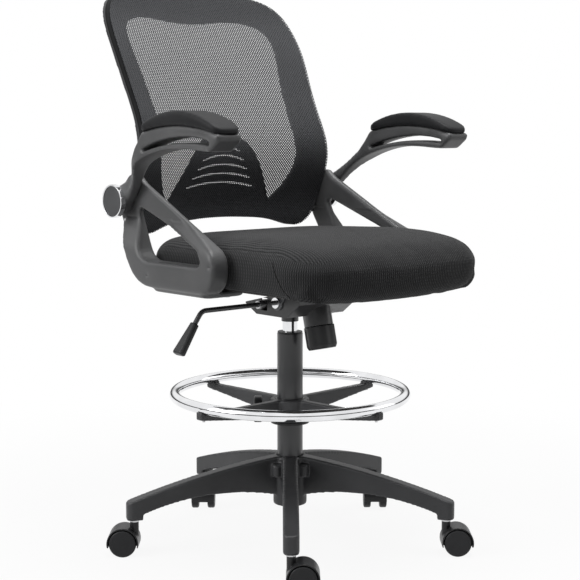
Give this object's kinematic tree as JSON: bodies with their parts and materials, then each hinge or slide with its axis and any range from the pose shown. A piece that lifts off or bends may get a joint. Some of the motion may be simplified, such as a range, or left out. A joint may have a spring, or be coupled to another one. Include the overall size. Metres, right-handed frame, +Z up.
{
  "type": "drafting chair",
  "caption": "Drafting chair on a caster base: net back, upholstered seat, flip-up arms, long gas lift and a bright foot ring.",
  "frame": {"origin": "on the floor under the column's axis", "axes": "+Z up, the chair faces -Y, the sitter's left is +X"},
  "size_m": [0.6435, 0.6557, 1.046],
  "materials": {
    "black_nylon": "fine moulded grain, satin",
    "black_plastic": "smooth satin moulding",
    "wheel_nylon": "worn satin tread",
    "black_enamel": "semi-gloss powder coat",
    "pan_enamel": "grey powder coat",
    "bright_chrome": "mirror plated",
    "bright_steel": "zinc plated",
    "seat_fabric": "knitted spacer fabric",
    "pad_foam": "soft moulded skin, fine grain",
    "back_weave": "open woven net",
    "board_ply": "pressed plywood"
  },
  "bodies": {
    "base": {"star_base": "black_nylon", "column_tube": "black_enamel", "column_guide_bush": "black_plastic", "thrust_bearing": "bright_steel"},
    "swivel": {"piston_rod": "bright_steel", "rod_clip": "bright_steel"},
    "lift": {"gas_cylinder": "bright_chrome", "mechanism_housing": "black_enamel", "tilt_axle": "bright_steel", "tension_bolt": "bright_steel", "tilt_spring": "bright_steel"},
    "release_button": {"release_button": "bright_steel"},
    "release_arm": {"release_arm": "bright_steel"},
    "lever": {"lever_rod": "black_enamel", "lever_grip": "black_plastic"},
    "tension_knob": {"tension_knob": "black_plastic"},
    "seat": {"seat_plate": "pan_enamel", "seat_board": "board_ply", "seat_cushion": "seat_fabric", "seat_bolts": "bright_steel", "left_side_frame": "black_nylon", "right_side_frame": "black_nylon", "side_frame_bolts": "bright_steel", "pivot_pins": "bright_steel", "pivot_caps": "black_plastic", "pivot_trim_rings": "bright_chrome", "back_frame": "black_nylon", "back_mesh": "back_weave", "lumbar_panel": "black_nylon", "back_bolts": "bright_steel"},
    "left_arm": {"left_armrest": "black_nylon", "left_arm_pad": "pad_foam"},
    "right_arm": {"right_armrest": "black_nylon", "right_arm_pad": "pad_foam"},
    "ring_slider": {"foot_ring_sleeve": "black_plastic"},
    "foot_ring": {"foot_ring_spider": "black_nylon", "foot_ring": "bright_chrome", "foot_ring_screws": "bright_steel"},
    "ring_clamp_knob": {"foot_ring_knob": "black_plastic"},
    "caster_1": {"caster_1_housing": "black_nylon", "caster_1_pins": "bright_steel"},
    "caster_1_left_wheel": {"caster_1_left_wheel": "wheel_nylon"},
    "caster_1_right_wheel": {"caster_1_right_wheel": "wheel_nylon"},
    "caster_2": {"caster_2_housing": "black_nylon", "caster_2_pins": "bright_steel"},
    "caster_2_left_wheel": {"caster_2_left_wheel": "wheel_nylon"},
    "caster_2_right_wheel": {"caster_2_right_wheel": "wheel_nylon"},
    "caster_3": {"caster_3_housing": "black_nylon", "caster_3_pins": "bright_steel"},
    "caster_3_left_wheel": {"caster_3_left_wheel": "wheel_nylon"},
    "caster_3_right_wheel": {"caster_3_right_wheel": "wheel_nylon"},
    "caster_4": {"caster_4_housing": "black_nylon", "caster_4_pins": "bright_steel"},
    "caster_4_left_wheel": {"caster_4_left_wheel": "wheel_nylon"},
    "caster_4_right_wheel": {"caster_4_right_wheel": "wheel_nylon"},
    "caster_5": {"caster_5_housing": "black_nylon", "caster_5_pins": "bright_steel"},
    "caster_5_left_wheel": {"caster_5_left_wheel": "wheel_nylon"},
    "caster_5_right_wheel": {"caster_5_right_wheel": "wheel_nylon"}
  },
  "joints": [
    {"name": "seat_swivel", "type": "hinge", "parent": "base", "child": "swivel", "pos_m": [0, 0, 0.09], "axis": [0, 0, 1], "continuous": true},
    {"name": "gas_lift", "type": "slide", "parent": "swivel", "child": "lift", "axis": [0, 0, 1], "range_m": [0, 0.2]},
    {"name": "button_press", "type": "slide", "parent": "lift", "child": "release_button", "axis": [0, 0, 1], "range_m": [-0.0055, 0], "stiffness_N_per_m": 400},
    {"name": "lever_lift", "type": "hinge", "parent": "lift", "child": "release_arm", "pos_m": [-0.062, -0.008, 0.457], "axis": [0, 1, 0], "range_deg": [0, 5], "stiffness_Nm_per_rad": 12, "springref_deg": -1.72},
    {"name": "tilt_lock_slide", "type": "slide", "parent": "release_arm", "child": "lever", "axis": [-1, 0, 0], "range_m": [0, 0.012]},
    {"name": "tension_turn", "type": "hinge", "parent": "lift", "child": "tension_knob", "pos_m": [0, -0.07, 0.458], "axis": [0, -0.2334, -0.9724], "continuous": true},
    {"name": "seat_tilt", "type": "hinge", "parent": "lift", "child": "seat", "pos_m": [0, -0.046, 0.463], "axis": [-1, 0, 0], "range_deg": [0, 12], "stiffness_Nm_per_rad": 60, "springref_deg": -14.32},
    {"name": "left_arm_flip", "type": "hinge", "parent": "seat", "child": "left_arm", "pos_m": [0.251, 0.182, 0.644], "axis": [-1, 0, 0], "range_deg": [0, 90]},
    {"name": "right_arm_flip", "type": "hinge", "parent": "seat", "child": "right_arm", "pos_m": [-0.251, 0.182, 0.644], "axis": [-1, 0, 0], "range_deg": [0, 90]},
    {"name": "ring_height", "type": "slide", "parent": "base", "child": "ring_slider", "axis": [0, 0, 1], "range_m": [-0.05, 0.09]},
    {"name": "ring_turn", "type": "hinge", "parent": "ring_slider", "child": "foot_ring", "pos_m": [0, 0, 0.25], "axis": [0, 0, 1], "continuous": true},
    {"name": "clamp_turn", "type": "hinge", "parent": "foot_ring", "child": "ring_clamp_knob", "pos_m": [-0.04494, 0.03976, 0.2517], "axis": [-0.749, 0.6626, 0], "continuous": true},
    {"name": "caster_1_swivel", "type": "hinge", "parent": "base", "child": "caster_1", "pos_m": [-0.19721, -0.22607, 0.066], "axis": [0, 0, 1], "continuous": true},
    {"name": "caster_1_left_roll", "type": "hinge", "parent": "caster_1", "child": "caster_1_left_wheel", "pos_m": [-0.18223, -0.23932, 0.025], "axis": [-0.6626, -0.749, 0], "continuous": true},
    {"name": "caster_1_right_roll", "type": "hinge", "parent": "caster_1", "child": "caster_1_right_wheel", "pos_m": [-0.18223, -0.23932, 0.025], "axis": [-0.6626, -0.749, 0], "continuous": true},
    {"name": "caster_2_swivel", "type": "hinge", "parent": "base", "child": "caster_2", "pos_m": [0.15406, -0.25742, 0.066], "axis": [0, 0, 1], "continuous": true},
    {"name": "caster_2_left_roll", "type": "hinge", "parent": "caster_2", "child": "caster_2_left_wheel", "pos_m": [0.16904, -0.27067, 0.025], "axis": [-0.6626, -0.749, 0], "continuous": true},
    {"name": "caster_2_right_roll", "type": "hinge", "parent": "caster_2", "child": "caster_2_right_wheel", "pos_m": [0.16904, -0.27067, 0.025], "axis": [-0.6626, -0.749, 0], "continuous": true},
    {"name": "caster_3_swivel", "type": "hinge", "parent": "base", "child": "caster_3", "pos_m": [0.29243, 0.06698, 0.066], "axis": [0, 0, 1], "continuous": true},
    {"name": "caster_3_left_roll", "type": "hinge", "parent": "caster_3", "child": "caster_3_left_wheel", "pos_m": [0.27918, 0.052, 0.025], "axis": [-0.749, 0.6626, 0], "continuous": true},
    {"name": "caster_3_right_roll", "type": "hinge", "parent": "caster_3", "child": "caster_3_right_wheel", "pos_m": [0.27918, 0.052, 0.025], "axis": [-0.749, 0.6626, 0], "continuous": true},
    {"name": "caster_4_swivel", "type": "hinge", "parent": "base", "child": "caster_4", "pos_m": [0.02667, 0.29881, 0.066], "axis": [0, 0, 1], "continuous": true},
    {"name": "caster_4_left_roll", "type": "hinge", "parent": "caster_4", "child": "caster_4_left_wheel", "pos_m": [0.01342, 0.28383, 0.025], "axis": [-0.749, 0.6626, 0], "continuous": true},
    {"name": "caster_4_right_roll", "type": "hinge", "parent": "caster_4", "child": "caster_4_right_wheel", "pos_m": [0.01342, 0.28383, 0.025], "axis": [-0.749, 0.6626, 0], "continuous": true},
    {"name": "caster_5_swivel", "type": "hinge", "parent": "base", "child": "caster_5", "pos_m": [-0.27595, 0.1177, 0.066], "axis": [0, 0, 1], "continuous": true},
    {"name": "caster_5_left_roll", "type": "hinge", "parent": "caster_5", "child": "caster_5_left_wheel", "pos_m": [-0.29093, 0.13095, 0.025], "axis": [0.6626, 0.749, 0], "continuous": true},
    {"name": "caster_5_right_roll", "type": "hinge", "parent": "caster_5", "child": "caster_5_right_wheel", "pos_m": [-0.29093, 0.13095, 0.025], "axis": [0.6626, 0.749, 0], "continuous": true}
  ],
  "couplings": [
    {"joint": "button_press", "follows": "lever_lift", "m_per_rad": -0.062}
  ]
}
